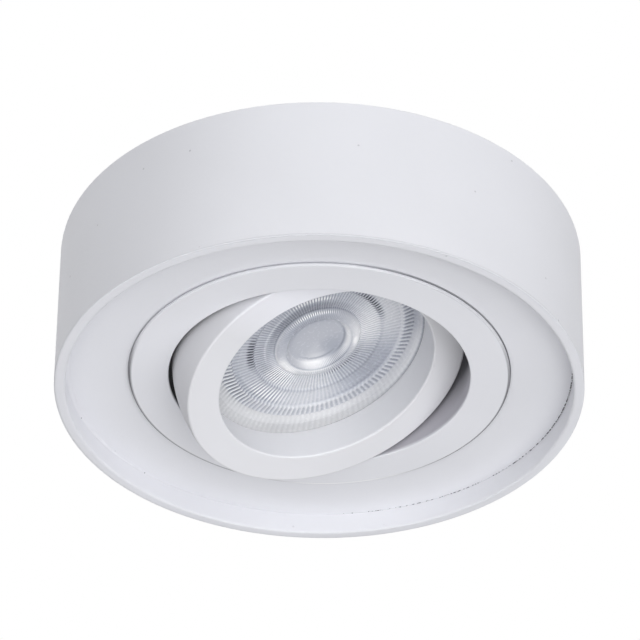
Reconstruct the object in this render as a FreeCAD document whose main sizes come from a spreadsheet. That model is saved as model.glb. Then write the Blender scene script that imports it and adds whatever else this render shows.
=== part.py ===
import FreeCAD, Part
import math
import os
import Sketcher
from FreeCAD import Placement, Rotation, Vector

# A round surface-mounted ceiling spotlight: a short tube with a plate set inside its front rim, a trim ring
# held in that plate by two spring clips, and a ring that tilts in the trim and carries a flat LED lamp.
# The ceiling is the plane z = 0, the light hangs below it, and the tilt axis lies along Y.

# Driving sizes, in millimetres and degrees.
SIZES = {
    # housing tube and the plate in its front
    "housing_radius": 56.0,
    "housing_height": 34.2,
    "lip_wall": 2.3,
    "shoulder_step": 1.5,
    "rim_round": 0.3,
    "plate_recess": 4.9,
    "plate_thickness": 1.5,
    "plate_clearance": 0.03,
    # bar that is screwed to the ceiling
    "bar_margin": 7.3,
    "bar_thickness": 1.5,
    "bar_clearance": 0.3,
    "slot_spacing": 60.0,
    "slot_length": 10.6,
    "slot_width": 4.6,
    # lugs inside the tube and the screws that hold the bar on them
    "lug_radius": 4.2,
    "lug_inset": 3.4,
    "lug_angle": 20.0,
    "lug_height": 9.0,
    "bar_screw_radius": 1.5,
    "bar_screw_head_radius": 2.8,
    "bar_screw_length": 7.0,
    "screw_clearance": 0.05,
    # cable entry
    "grommet_radius": 5.2,
    "grommet_flange": 1.1,
    "grommet_flange_thickness": 1.3,
    "grommet_spacing": 0.6,
    "cable_hole_radius": 3.2,
    # terminal block under the bar
    "block_length": 19.0,
    "block_depth": 8.6,
    "block_height": 11.5,
    "block_inset": 2.4,
    "pole_spacing": 10.0,
    "clamp_radius": 2.3,
    "clamp_bore_radius": 1.5,
    "clamp_drop": 5.2,
    "clamp_recess": 0.4,
    "clamp_screw_spacing": 4.4,
    "clamp_screw_radius": 1.2,
    "clamp_screw_length": 3.6,
    "block_screw_radius": 1.25,
    "block_screw_head_radius": 2.3,
    "block_screw_length": 8.0,
    "driver_slot": 0.6,
    "cross_depth": 0.9,
    "countersink_angle": 45.0,
    # earth screw at the other end of the bar
    "earth_inset": 3.9,
    "earth_screw_radius": 2.0,
    "earth_head_radius": 3.3,
    "earth_head_height": 2.2,
    "earth_slot": 1.2,
    "earth_washer_thickness": 0.8,
    "earth_washer_teeth": 12.0,
    "earth_washer_reach": 0.7,
    # lamp, the size that the rings are built round
    "lamp_radius": 25.0,
    "lamp_clearance": 0.2,
    "lamp_rim": 1.6,
    "lamp_rim_step": 1.2,
    "lamp_rear_radius": 14.0,
    "lamp_rear_clearance": 1.0,
    "lamp_wall": 1.4,
    "lamp_floor": 1.0,
    "fin_count": 24.0,
    "fin_gap": 1.7,
    "fin_root": 0.3,
    "fin_share": 0.73,
    # lens: rim, stepped ring zones, sunk centre and the cavity over the light source
    "lens_rim": 3.0,
    "lens_share": 0.546,
    "lens_land": 0.5,
    "lens_foot": 1.2,
    "lens_base_radius": 6.5,
    "dish_depth": 1.85,
    "zone_step": 0.35,
    "outer_zone_radius": 21.9,
    "middle_zone_radius": 19.25,
    "inner_zone_radius": 14.35,
    "collar_radius": 9.7,
    "collar_depth": 0.5,
    "well_radius": 7.0,
    "well_share": 0.232,
    "well_draft": 0.4,
    "led_cavity_radius": 4.6,
    "led_cavity_depth": 2.2,
    # light source, its board, the driver and the lamp's rear cap
    "board_radius": 11.9,
    "board_thickness": 1.0,
    "board_clearance": 0.2,
    "led_base_radius": 3.5,
    "led_base_thickness": 0.4,
    "led_dome_radius": 2.6,
    "led_dome_height": 0.9,
    "driver_thickness": 1.0,
    "component_clearance": 0.3,
    "capacitor_radius": 3.0,
    "choke_width": 5.6,
    "cap_thickness": 1.1,
    "gland_radius": 2.2,
    "gland_flange": 1.0,
    "gland_flange_thickness": 0.8,
    "lead_hole_radius": 1.2,
    # tilting ring
    "bore_front_radius": 23.93,
    "seat_ledge": 0.3,
    "seat_depth": 8.3,
    "bore_wall": 1.9,
    "pivot_room": 2.54,
    "ring_wall": 1.8,
    "ring_rise": 7.0,
    "face_thickness": 2.0,
    "face_round": 0.5,
    "bore_round": 0.4,
    "bore_lip": 0.6,
    "retainer_wire_radius": 0.6,
    "retainer_groove_play": 0.1,
    "retainer_opening_angle": 30.0,
    "tilt_angle": 20.9,
    "tilt_limit_angle": 30.0,
    # trim ring
    "ring_gap": 0.53,
    "skirt_wall": 1.6,
    "skirt_height": 10.8,
    "insert_room": 3.43,
    "flange_overlap": 3.4,
    "flange_thickness": 0.95,
    "flange_round": 0.45,
    "flange_relief": 0.4,
    "flange_relief_width": 0.8,
    "opening_round": 0.3,
    "spigot_clearance": 0.2,
    "spigot_wall": 1.2,
    "spigot_height": 1.2,
    # pivots between the two rings
    "pivot_rise": 5.2,
    "face_proud": 0.15,
    "pivot_radius": 1.5,
    "pivot_play": 0.05,
    "pivot_boss_radius": 3.2,
    "pivot_boss_height": 0.3,
    "pivot_thread": 3.2,
    "pivot_head_radius": 2.7,
    "pivot_head_height": 1.6,
    "pivot_washer_thickness": 0.5,
    # spring clips that hold the trim ring in the plate
    "clip_width": 13.2,
    "clip_thickness": 0.8,
    "clip_wall_gap": 4.0,
    "clip_gap": 0.15,
    "clip_roll_radius": 1.2,
    "clip_knuckle_width": 8.2,
    "clip_knuckle_wall": 0.55,
    "clip_pin_radius": 0.75,
    "clip_pin_rise": 3.2,
    "clip_side_gap": 0.4,
    "clip_relief": 0.45,
    "ear_thickness": 1.4,
    "ear_wall": 0.7,
    "insert_slack": 0.15,
    "spring_wire_radius": 0.3,
    "spring_radius": 1.35,
    "spring_pitch": 1.1,
    "spring_turns": 3.0,
}

doc = FreeCAD.newDocument("Downlight")
sheet = doc.addObject("Spreadsheet::Sheet", "Sizes")
for row, (name, number) in enumerate(SIZES.items(), start=1):
    sheet.set(f"A{row}", name)
    sheet.set(f"B{row}", str(number))
    sheet.setAlias(f"B{row}", name)
doc.recompute()


class Size:
    """A length or an angle, known both as a number and as the sheet expression that gives it."""

    def __init__(self, value, text):
        self.value = value
        self.text = text

    def __add__(self, other):
        other = as_size(other)
        return Size(self.value + other.value, f"({self.text} + {other.text})")

    def __sub__(self, other):
        other = as_size(other)
        return Size(self.value - other.value, f"({self.text} - {other.text})")

    def __mul__(self, other):
        other = as_size(other)
        return Size(self.value * other.value, f"({self.text} * {other.text})")

    def __truediv__(self, other):
        other = as_size(other)
        return Size(self.value / other.value, f"({self.text} / {other.text})")

    def __neg__(self):
        return Size(-self.value, f"(0 - {self.text})")


def as_size(term):
    return term if isinstance(term, Size) else Size(float(term), str(float(term)))


def size(name):
    """One cell of the sheet."""
    return Size(float(sheet.get(name)), f"Sizes.{name}")


def leg(hypotenuse, other_leg):
    """The remaining side of a right triangle."""
    value = math.sqrt(hypotenuse.value**2 - other_leg.value**2)
    return Size(value, f"sqrt({hypotenuse.text}^2 - {other_leg.text}^2)")


def sine(angle):
    return Size(math.sin(math.radians(angle.value)), f"sin({angle.text})")


def cosine(angle):
    return Size(math.cos(math.radians(angle.value)), f"cos({angle.text})")


ZERO = as_size(0)
QUARTER_TURN = as_size(90)
HALF_TURN = as_size(180)
FULL_TURN = as_size(360)
X_AXIS = Vector(1, 0, 0)
Y_AXIS = Vector(0, 1, 0)
Z_AXIS = Vector(0, 0, 1)
subparts = []


def body_named(label):
    body = doc.addObject("PartDesign::Body", label)
    body.Label = label
    return body


def sketch_in(body, role, name, offset=ZERO):
    """A sketch on one of the body's own origin planes, moved along that plane's normal."""
    sketch = body.newObject("Sketcher::SketchObject", name)
    plane = next(feature for feature in body.Origin.OriginFeatures if feature.Role == role)
    sketch.AttachmentSupport = [(plane, "")]
    sketch.MapMode = "FlatFace"
    sketch.setExpression("AttachmentOffset.Base.z", offset.text)
    return sketch


def hold(sketch, kind, geometry, vertex, distance):
    """Tie one coordinate of a sketch point to the sheet."""
    index = sketch.addConstraint(Sketcher.Constraint(kind, -1, 1, geometry, vertex, distance.value))
    sketch.setExpression(f"Constraints[{index}]", distance.text)


def add_arc(sketch, start, end, centre):
    """An arc of at most half a turn; returns its index and which of its ends is the start."""
    middle = Vector(centre[0].value, centre[1].value, 0)
    angles = [math.atan2(p[1].value - middle.y, p[0].value - middle.x) for p in (start, end)]
    radius = math.hypot(start[0].value - middle.x, start[1].value - middle.y)
    forward = (angles[1] - angles[0]) % (2 * math.pi) <= math.pi + 1e-6
    first, last = angles if forward else reversed(angles)
    index = sketch.addGeometry(Part.ArcOfCircle(Part.Circle(middle, Z_AXIS, radius), first, last))
    if abs(start[0].value - end[0].value) > abs(start[1].value - end[1].value):
        hold(sketch, "DistanceY", index, 3, centre[1])
    else:
        hold(sketch, "DistanceX", index, 3, centre[0])
    return (index, 1, 2) if forward else (index, 2, 1)


def draw(sketch, points):
    """A closed outline through (x, y) points; a point given as (x, y, centre) is reached by an arc."""
    segments = []
    for start, end in zip(points, points[1:] + points[:1]):
        if len(end) == 3:
            segments.append(add_arc(sketch, start, end, end[2]))
        else:
            ends = [Vector(p[0].value, p[1].value, 0) for p in (start, end)]
            segments.append((sketch.addGeometry(Part.LineSegment(*ends)), 1, 2))
    for point, before, after in zip(points, segments[-1:] + segments[:-1], segments):
        sketch.addConstraint(Sketcher.Constraint("Coincident", before[0], before[2], after[0], after[1]))
        hold(sketch, "DistanceX", after[0], after[1], point[0])
        hold(sketch, "DistanceY", after[0], after[1], point[1])


def circle(sketch, x, y, radius):
    index = sketch.addGeometry(Part.Circle(Vector(x.value, y.value, 0), Z_AXIS, radius.value))
    hold(sketch, "DistanceX", index, 3, x)
    hold(sketch, "DistanceY", index, 3, y)
    rule = sketch.addConstraint(Sketcher.Constraint("Radius", index, radius.value))
    sketch.setExpression(f"Constraints[{rule}]", radius.text)


def rectangle(x0, y0, x1, y1):
    return [(x0, y0), (x1, y0), (x1, y1), (x0, y1)]


def turned(body, points, name="Turned"):
    """Revolve an outline of (radius, height) points about the body's Z axis."""
    sketch = sketch_in(body, "XZ_Plane", name + "Profile")
    draw(sketch, points)
    feature = body.newObject("PartDesign::Revolution", name)
    feature.Profile = sketch
    feature.ReferenceAxis = (sketch, ["V_Axis"])
    feature.setExpression("Angle", FULL_TURN.text)
    return feature


def extruded(body, kind, sketch, length, name, both_ways=False, backwards=False):
    """A Pad or a Pocket of a sketch."""
    feature = body.newObject("PartDesign::" + kind, name)
    feature.Profile = sketch
    feature.setExpression("Length", length.text)
    feature.Midplane = both_ways
    feature.Reversed = backwards
    return feature


def cut_must_remove(body, feature):
    """Stop if a cut left the solid as it was."""
    doc.recompute()
    if feature.Shape.Volume >= feature.BaseFeature.Shape.Volume - 1e-6:
        raise ValueError(f"{feature.Label} removes nothing from {body.Label}")


def rounded(body, radius, rings, name="Rounded"):
    """Fillet the circular edges that lie at the given (radius, height) pairs."""
    doc.recompute()
    base = body.Tip
    edges = []
    for number, edge in enumerate(base.Shape.Edges, start=1):
        if not isinstance(edge.Curve, Part.Circle):
            continue
        for ring_radius, height in rings:
            same_size = abs(edge.Curve.Radius - ring_radius.value) < 1e-4
            if same_size and abs(edge.Curve.Center.z - height.value) < 1e-4:
                edges.append(f"Edge{number}")
    feature = body.newObject("PartDesign::Fillet", name)
    feature.Base = (base, edges)
    feature.setExpression("Radius", radius.text)
    return feature


def place(obj, x=ZERO, y=ZERO, z=ZERO, axis=None, angle=None):
    """Seat an object, turned by a positive angle about an axis where one is given."""
    if axis:
        obj.Placement = Placement(Vector(), Rotation(axis, angle.value))
        obj.setExpression("Placement.Rotation.Angle", angle.text)
    for name, distance in zip("xyz", (x, y, z)):
        obj.setExpression(f"Placement.Base.{name}", distance.text)
    return obj


def keep(obj):
    """Count an object as one sub-part of the light."""
    subparts.append(obj)
    return obj


def group(label, members):
    """Like pieces that share one node, each still its own solid."""
    compound = doc.addObject("Part::Compound", label)
    compound.Label = label
    compound.Links = members
    return keep(compound)


# Heights and radii that several pieces share, worked out from the sheet.
plate_front = size("plate_recess") - size("housing_height")
plate_rear = plate_front + size("plate_thickness")
lip_radius = size("housing_radius") - size("lip_wall")
inner_radius = lip_radius - size("shoulder_step")
bar_radius = inner_radius - size("bar_clearance")
lug_reach = inner_radius - size("lug_inset")
lug_x = lug_reach * sine(size("lug_angle"))
lug_y = lug_reach * cosine(size("lug_angle"))
LUG_SIDES = [(1, 1), (-1, 1), (-1, -1), (1, -1)]
block_y = size("block_inset") + size("block_depth") / 2 - bar_radius
clamp_z = -size("clamp_drop")
clamp_screw_y = size("clamp_screw_spacing") / 2
earth_y = bar_radius - size("earth_inset")
grommet_x = lug_x
grommet_reach = size("grommet_radius") + size("grommet_flange")
grommet_y = lug_y - size("lug_radius") - size("grommet_spacing") - grommet_reach

counterbore_radius = size("lamp_radius") + size("lamp_clearance")
bore_tube_radius = counterbore_radius + size("bore_wall")
ring_radius = bore_tube_radius + size("pivot_room") + size("ring_wall")
opening_radius = ring_radius + size("ring_gap")
skirt_radius = opening_radius + size("skirt_wall")
plate_hole_radius = skirt_radius + size("insert_room")
trim_radius = plate_hole_radius + size("flange_overlap")

face_drop = size("pivot_rise") + size("face_proud")
pivot_height = size("pivot_rise") - size("flange_thickness")
pivot_z = plate_front + pivot_height
seat_height = size("seat_depth") - face_drop
retainer_height = seat_height + size("lens_rim") + size("lamp_rim") + size("retainer_wire_radius")

# Fully tilted, the lamp's rear edge stays clear of the bar. That sets its length, and the length its inside.
tilt_limit = size("tilt_limit_angle")
rear_room = -pivot_z - size("bar_thickness") - size("lamp_rear_clearance")
rear_height = (rear_room - size("lamp_rear_radius") * sine(tilt_limit)) / cosine(tilt_limit)
lamp_length = rear_height - seat_height
lamp_body_height = seat_height + size("lens_rim")
lamp_body_length = lamp_length - size("lens_rim")
lens_depth = lamp_length * size("lens_share")
board_seat = lens_depth - size("lens_rim") + size("board_clearance") + size("board_thickness")
driver_floor = board_seat + size("lamp_floor")
cap_height = rear_height - size("cap_thickness")
driver_room = lamp_body_length - size("cap_thickness") - driver_floor
component_height = driver_room - size("driver_thickness") - size("component_clearance")

ear_radius = size("clip_pin_radius") + size("ear_wall")
clip_pin_x = plate_hole_radius - size("spigot_clearance") - ear_radius - size("insert_slack")
clip_pin_height = size("plate_thickness") + size("clip_pin_rise")
clip_reach = inner_radius - size("clip_wall_gap") - size("clip_roll_radius") - clip_pin_x
clip_drop = size("clip_pin_rise") - size("clip_roll_radius") - size("clip_gap")


def on_tilt(obj, height=ZERO):
    """Seat a piece on the tilting ring's axis, at a height above the pivots."""
    tilt = size("tilt_angle")
    return place(
        obj,
        x=-(height * sine(tilt)),
        z=pivot_z + height * cosine(tilt),
        axis=-Y_AXIS,
        angle=tilt,
    )


def make_housing_tube():
    body = body_named("housing_tube")
    rim = -size("housing_height")
    outer = size("housing_radius")
    turned(
        body,
        [
            (lip_radius, rim),
            (outer, rim),
            (outer, ZERO),
            (inner_radius, ZERO),
            (inner_radius, plate_rear),
            (lip_radius, plate_rear),
        ],
    )
    rounded(body, size("rim_round"), [(lip_radius, rim), (outer, rim), (outer, ZERO)])
    return keep(body)


def make_screw_lugs():
    """Threaded blocks bonded to the inside of the tube, each trimmed to the tube's wall."""
    members = []
    for side_x, side_y in LUG_SIDES:
        body = body_named(f"screw_lug_{len(members) + 1}")
        x = lug_x * side_x
        y = lug_y * side_y
        block = sketch_in(body, "XY_Plane", "BlockOutline")
        circle(block, x, y, size("lug_radius"))
        extruded(body, "Pad", block, size("lug_height"), "Block", backwards=True)
        wall = sketch_in(body, "XY_Plane", "WallOutline")
        circle(wall, ZERO, ZERO, inner_radius - size("plate_clearance"))
        circle(wall, ZERO, ZERO, size("housing_radius"))
        cut_must_remove(body, extruded(body, "Pocket", wall, size("lug_height"), "Wall"))
        thread = sketch_in(body, "XY_Plane", "ThreadOutline")
        circle(thread, x, y, size("bar_screw_radius") + size("screw_clearance"))
        cut_must_remove(body, extruded(body, "Pocket", thread, size("bar_screw_length"), "Thread"))
        members.append(place(body, z=-size("bar_thickness")))
    return group("screw_lugs", members)


def make_front_plate():
    body = body_named("front_plate")
    outline = sketch_in(body, "XY_Plane", "PlateOutline")
    circle(outline, ZERO, ZERO, lip_radius - size("plate_clearance"))
    circle(outline, ZERO, ZERO, plate_hole_radius)
    extruded(body, "Pad", outline, size("plate_thickness"), "Plate")
    return keep(place(body, z=plate_front))


def make_mounting_bar():
    body = body_named("mounting_bar")
    half = lug_x + size("bar_margin")
    shoulder = leg(bar_radius, half)
    centre = (ZERO, ZERO)
    thickness = size("bar_thickness")
    outline = sketch_in(body, "XY_Plane", "BarOutline")
    corners = [(half, -shoulder, centre), (half, shoulder), (-half, shoulder, centre), (-half, -shoulder)]
    draw(outline, corners)
    extruded(body, "Pad", outline, thickness, "Bar")

    slot_half = size("slot_width") / 2
    run = (size("slot_length") - size("slot_width")) / 2
    for side, name in ((1, "FrontSlot"), (-1, "RearSlot")):
        middle = size("slot_spacing") / 2 * side
        low = (ZERO, middle - run)
        high = (ZERO, middle + run)
        slot = sketch_in(body, "XY_Plane", name + "Outline", thickness)
        corners = [
            (slot_half, low[1], low),
            (slot_half, high[1]),
            (-slot_half, high[1], high),
            (-slot_half, low[1]),
        ]
        draw(slot, corners)
        cut_must_remove(body, extruded(body, "Pocket", slot, thickness, name))

    plain = sketch_in(body, "XY_Plane", "HoleOutline", thickness)
    for side_x, side_y in LUG_SIDES:
        circle(plain, lug_x * side_x, lug_y * side_y, size("bar_screw_radius") + size("screw_clearance"))
    circle(plain, ZERO, block_y, size("block_screw_radius") + size("screw_clearance"))
    circle(plain, ZERO, earth_y, size("earth_screw_radius") + size("screw_clearance"))
    circle(plain, grommet_x, grommet_y, size("grommet_radius"))
    cut_must_remove(body, extruded(body, "Pocket", plain, thickness, "Holes"))

    sunk = [(lug_x * side_x, lug_y * side_y, "bar_screw") for side_x, side_y in LUG_SIDES]
    for number, (x, y, screw) in enumerate(sunk + [(ZERO, block_y, "block_screw")], start=1):
        mouth = size(screw + "_head_radius") + size("screw_clearance")
        shank = size(screw + "_radius") + size("screw_clearance")
        countersink = sketch_in(body, "XY_Plane", f"CountersinkOutline{number}", thickness)
        circle(countersink, x, y, mouth)
        feature = extruded(body, "Pocket", countersink, mouth - shank, f"Countersink{number}")
        feature.setExpression("TaperAngle", (-size("countersink_angle")).text)
        cut_must_remove(body, feature)
    return keep(place(body, z=-thickness))


def make_countersunk_screw(name, screw, x, y):
    """A flat-headed screw whose head lies flush with the ceiling face of the bar."""
    body = body_named(name)
    shank = size(screw + "_radius")
    head = size(screw + "_head_radius")
    tip = -size(screw + "_length")
    turned(body, [(ZERO, tip), (shank, tip), (shank, shank - head), (head, ZERO), (ZERO, ZERO)])
    slot = size("driver_slot") / 2
    reach = shank
    cross = sketch_in(body, "XY_Plane", "CrossOutline")
    corners = [(slot, -reach), (slot, -slot), (reach, -slot), (reach, slot), (slot, slot), (slot, reach)]
    draw(cross, corners + [(-corner_x, -corner_y) for corner_x, corner_y in corners])
    cut_must_remove(body, extruded(body, "Pocket", cross, size("cross_depth"), "Cross"))
    return place(body, x=x, y=y)


def make_bar_screws():
    members = []
    for number, (side_x, side_y) in enumerate(LUG_SIDES, start=1):
        x = lug_x * side_x
        y = lug_y * side_y
        members.append(make_countersunk_screw(f"bar_screw_{number}", "bar_screw", x, y))
    return group("bar_screws", members)


def make_cable_grommet():
    body = body_named("cable_grommet")
    hole = size("cable_hole_radius")
    neck = size("grommet_radius") - size("screw_clearance")
    flange = grommet_reach
    seat = -size("bar_thickness")
    bottom = seat - size("grommet_flange_thickness")
    profile = [(hole, bottom), (flange, bottom), (flange, seat), (neck, seat), (neck, ZERO), (hole, ZERO)]
    turned(body, profile)
    return keep(place(body, x=grommet_x, y=grommet_y))


def make_terminal_block():
    body = body_named("terminal_block")
    half_length = size("block_length") / 2
    half_depth = size("block_depth") / 2
    drop = size("block_height")
    clearance = size("screw_clearance")
    outline = sketch_in(body, "XY_Plane", "BlockOutline")
    draw(outline, rectangle(-half_length, -half_depth, half_length, half_depth))
    extruded(body, "Pad", outline, drop, "Block", backwards=True)
    wires = sketch_in(body, "XZ_Plane", "WireHoleOutline")
    screws = sketch_in(body, "XY_Plane", "ScrewHoleOutline", -drop)
    for side in (1, -1):
        pole = size("pole_spacing") / 2 * side
        circle(wires, pole, clamp_z, size("clamp_radius") + clearance)
        for row in (1, -1):
            circle(screws, pole, clamp_screw_y * row, size("clamp_screw_radius") + clearance)
    feature = extruded(body, "Pocket", wires, size("block_depth"), "WireHoles", both_ways=True)
    cut_must_remove(body, feature)
    feature = extruded(body, "Pocket", screws, drop + clamp_z, "ScrewHoles", backwards=True)
    cut_must_remove(body, feature)
    fixing = sketch_in(body, "XY_Plane", "FixingHoleOutline")
    circle(fixing, ZERO, ZERO, size("block_screw_radius") + clearance)
    cut_must_remove(body, extruded(body, "Pocket", fixing, size("block_screw_length"), "FixingHole"))
    return keep(place(body, y=block_y, z=-size("bar_thickness")))


def make_terminal_clamps():
    """Two brass tubes, each with threaded holes for its wire screws."""
    members = []
    for side in (1, -1):
        body = body_named(f"terminal_clamp_{len(members) + 1}")
        length = size("block_depth") - size("clamp_recess") * 2
        section = sketch_in(body, "XZ_Plane", "ClampSection")
        circle(section, ZERO, ZERO, size("clamp_radius"))
        circle(section, ZERO, ZERO, size("clamp_bore_radius"))
        extruded(body, "Pad", section, length, "Clamp", both_ways=True)
        threads = sketch_in(body, "XY_Plane", "ThreadOutline")
        for row in (1, -1):
            circle(threads, ZERO, clamp_screw_y * row, size("clamp_screw_radius") + size("screw_clearance"))
        cut_must_remove(body, extruded(body, "Pocket", threads, size("clamp_radius"), "Threads"))
        place(body, x=size("pole_spacing") / 2 * side, y=block_y, z=clamp_z - size("bar_thickness"))
        members.append(body)
    return group("terminal_clamps", members)


def cut_driver_slot(body, head, radius, width, from_below=False):
    """A screwdriver slot, as deep as it is wide, right across a screw's head."""
    slot = sketch_in(body, "XY_Plane", "DriverSlotOutline", head)
    draw(slot, rectangle(-(width / 2), -(radius * 2), width / 2, radius * 2))
    cut_must_remove(body, extruded(body, "Pocket", slot, width, "DriverSlot", backwards=from_below))


def make_terminal_screws():
    members = []
    radius = size("clamp_screw_radius")
    head = -size("clamp_screw_length")
    for side in (1, -1):
        for row in (1, -1):
            body = body_named(f"terminal_screw_{len(members) + 1}")
            turned(body, rectangle(ZERO, head, radius, ZERO))
            cut_driver_slot(body, head, radius, size("driver_slot"), from_below=True)
            place(
                body,
                x=size("pole_spacing") / 2 * side,
                y=block_y + clamp_screw_y * row,
                z=clamp_z - size("bar_thickness") - size("clamp_bore_radius") / 2,
            )
            members.append(body)
    return group("terminal_screws", members)


def make_earth_screw():
    body = body_named("earth_screw")
    shank = size("earth_screw_radius")
    head = size("earth_head_radius")
    seat = -(size("bar_thickness") + size("earth_washer_thickness"))
    bottom = seat - size("earth_head_height")
    turned(body, [(ZERO, bottom), (head, bottom), (head, seat), (shank, seat), (shank, ZERO), (ZERO, ZERO)])
    rounded(body, size("earth_head_height") / 2, [(head, bottom)])
    cut_driver_slot(body, bottom, head, size("earth_slot"), from_below=True)
    return keep(place(body, y=earth_y))


def make_earth_washer():
    body = body_named("earth_washer")
    outer = size("earth_head_radius") + size("earth_washer_reach")
    root = size("earth_head_radius") - size("earth_washer_reach")
    thickness = size("earth_washer_thickness")
    outline = sketch_in(body, "XY_Plane", "WasherOutline")
    circle(outline, ZERO, ZERO, outer)
    circle(outline, ZERO, ZERO, size("earth_screw_radius") + size("screw_clearance"))
    extruded(body, "Pad", outline, thickness, "Washer", backwards=True)
    notch = sketch_in(body, "XY_Plane", "NotchOutline")
    half = size("earth_washer_reach") / 2
    draw(notch, [(root, ZERO), (outer * 2, -half * 3), (outer * 2, half * 3)])
    cut = extruded(body, "Pocket", notch, thickness, "Notch")
    cut_must_remove(body, cut)
    around(body, cut, size("earth_washer_teeth"), "Teeth")
    return keep(place(body, y=earth_y, z=-size("bar_thickness")))


def around(body, feature, count, name):
    """Repeat a feature evenly about the body's Z axis."""
    pattern = body.newObject("PartDesign::PolarPattern", name)
    pattern.Originals = [feature]
    pattern.Axis = (next(f for f in body.Origin.OriginFeatures if f.Role == "Z_Axis"), [""])
    pattern.setExpression("Angle", FULL_TURN.text)
    pattern.setExpression("Occurrences", count.text)
    body.Tip = pattern
    return pattern


def make_trim_ring():
    body = body_named("trim_ring")
    front = -size("flange_thickness")
    spigot_outer = plate_hole_radius - size("spigot_clearance")
    spigot_inner = spigot_outer - size("spigot_wall")
    turned(
        body,
        [
            (opening_radius, front),
            (trim_radius, front),
            (trim_radius, -size("flange_relief")),
            (trim_radius - size("flange_relief_width"), ZERO),
            (spigot_outer, ZERO),
            (spigot_outer, size("spigot_height")),
            (spigot_inner, size("spigot_height")),
            (spigot_inner, ZERO),
            (skirt_radius, ZERO),
            (skirt_radius, size("skirt_height")),
            (opening_radius, size("skirt_height")),
        ],
    )
    rounded(body, size("flange_round"), [(trim_radius, front)], "OuterRound")
    rounded(body, size("opening_round"), [(opening_radius, front)], "OpeningRound")

    boss_start = opening_radius + size("skirt_wall") / 2
    boss_length = size("skirt_wall") / 2 + size("pivot_boss_height")
    for side, name in ((1, "Front"), (-1, "Rear")):
        boss = sketch_in(body, "XZ_Plane", name + "BossOutline", boss_start * side)
        circle(boss, ZERO, pivot_height, size("pivot_boss_radius"))
        extruded(body, "Pad", boss, boss_length, name + "Boss", backwards=side < 0)
    hole = sketch_in(body, "XZ_Plane", "PivotHoleOutline")
    circle(hole, ZERO, pivot_height, size("pivot_radius") + size("pivot_play"))
    through = (boss_start + boss_length) * 2
    cut_must_remove(body, extruded(body, "Pocket", hole, through, "PivotHoles", both_ways=True))

    gap_width = size("clip_width") + size("clip_side_gap") * 2
    ears_width = gap_width + size("ear_thickness") * 2
    for side, name in ((1, "Right"), (-1, "Left")):
        root = opening_radius * side
        pin = (clip_pin_x * side, clip_pin_height)
        near = clip_pin_height - ear_radius * side
        far = clip_pin_height + ear_radius * side
        ears = sketch_in(body, "XZ_Plane", name + "EarOutline")
        draw(ears, [(root, far), (root, near), (pin[0], near), (pin[0], far, pin)])
        extruded(body, "Pad", ears, ears_width, name + "Ears", both_ways=True)
        room = sketch_in(body, "XZ_Plane", name + "ClipRoomOutline")
        reach = ear_radius * 1.5
        below = clip_pin_height - reach
        wall = (skirt_radius - size("clip_relief")) * side
        draw(room, rectangle(wall, below, plate_hole_radius * side, clip_pin_height + reach))
        cut_must_remove(body, extruded(body, "Pocket", room, gap_width, name + "ClipRoom", both_ways=True))
        hinge = sketch_in(body, "XZ_Plane", name + "PinHoleOutline")
        circle(hinge, *pin, size("clip_pin_radius") + size("screw_clearance"))
        holes = extruded(body, "Pocket", hinge, ears_width, name + "PinHoles", both_ways=True)
        cut_must_remove(body, holes)
    return keep(place(body, z=plate_front))


def make_clip_pins():
    members = []
    half = size("clip_width") / 2 + size("clip_side_gap") + size("ear_thickness")
    for side, name in ((1, "right"), (-1, "left")):
        pin = doc.addObject("Part::Cylinder", f"clip_pin_{name}")
        pin.setExpression("Radius", "Sizes.clip_pin_radius")
        pin.setExpression("Height", (half * 2).text)
        height = plate_front + clip_pin_height
        place(pin, x=clip_pin_x * side, y=half, z=height, axis=X_AXIS, angle=QUARTER_TURN)
        members.append(pin)
    return group("clip_pins", members)


def make_clip_arm(label, side):
    """A sprung steel tongue that turns on its pin and presses on the back of the front plate."""
    body = body_named(label)
    half = size("clip_width") / 2
    knuckle_radius = size("clip_pin_radius") + size("pivot_play") + size("clip_knuckle_wall")
    flat = size("clip_thickness") / 2
    neck = size("spring_radius") + size("spring_wire_radius") + size("clip_side_gap")
    neck_drop = clip_drop * (neck / clip_reach)
    middle = half - size("clip_knuckle_width") / 2

    knuckle = sketch_in(body, "XZ_Plane", "KnuckleOutline", middle)
    circle(knuckle, ZERO, ZERO, knuckle_radius)
    extruded(body, "Pad", knuckle, size("clip_knuckle_width"), "Knuckle", both_ways=True)
    root = sketch_in(body, "XZ_Plane", "NeckOutline", middle)
    draw(root, [(ZERO, -flat), (neck, -flat - neck_drop), (neck, flat - neck_drop), (ZERO, flat)])
    extruded(body, "Pad", root, size("clip_knuckle_width"), "Neck", both_ways=True)
    tongue = sketch_in(body, "XZ_Plane", "TongueOutline")
    draw(
        tongue,
        [
            (neck, -flat - neck_drop),
            (clip_reach, -flat - clip_drop),
            (clip_reach, flat - clip_drop),
            (neck, flat - neck_drop),
        ],
    )
    extruded(body, "Pad", tongue, size("clip_width"), "Tongue", both_ways=True)
    roll = sketch_in(body, "XZ_Plane", "RollOutline")
    circle(roll, clip_reach, -clip_drop, size("clip_roll_radius"))
    extruded(body, "Pad", roll, size("clip_width"), "Roll", both_ways=True)
    bore = sketch_in(body, "XZ_Plane", "PinBoreOutline")
    circle(bore, ZERO, ZERO, size("clip_pin_radius") + size("pivot_play"))
    cut_must_remove(body, extruded(body, "Pocket", bore, size("clip_width") * 2, "PinBore", both_ways=True))
    return keep(place_clip(body, side))


def place_clip(obj, side):
    """Seat a clip piece at its pin; the left one is turned half round."""
    turn = ZERO if side > 0 else HALF_TURN
    return place(obj, x=clip_pin_x * side, z=plate_front + clip_pin_height, axis=Z_AXIS, angle=turn)


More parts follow.
